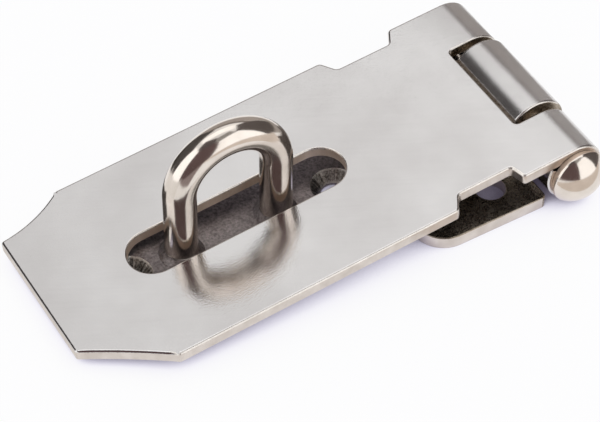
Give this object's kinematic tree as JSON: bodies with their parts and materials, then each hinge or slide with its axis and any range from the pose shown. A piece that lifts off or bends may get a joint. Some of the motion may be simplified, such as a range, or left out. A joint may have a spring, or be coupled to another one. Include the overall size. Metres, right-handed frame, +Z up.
{
  "type": "hasp and staple",
  "caption": "Slotted steel hasp with a rolled knuckle hinge, closed over a bent rod staple on a screwed plate, for a padlock.",
  "frame": {"origin": "on the mounting plane, midway between the two screw holes of the hinge leaf", "axes": "+Z up out of the mounting plane; +X from the hasp's free end towards the hinge; Y along the hinge pin, whose domed head is on the -Y side"},
  "size_m": [0.1036, 0.0507, 0.0298],
  "materials": {
    "brushed": "fine brushed stainless steel",
    "polished": "polished stainless steel",
    "blasted": "dull blasted steel"
  },
  "bodies": {
    "mounting": {"hinge_leaf": "brushed", "staple_plate": "blasted", "staple": "polished"},
    "hasp": {"hasp_leaf": "brushed", "hinge_pin": "polished"}
  },
  "joints": [
    {"name": "leaf_hinge", "type": "hinge", "parent": "mounting", "child": "hasp", "pos_m": [0.0134, 0, 0.00643], "axis": [0, 1, 0], "range_deg": [0, 180]}
  ]
}
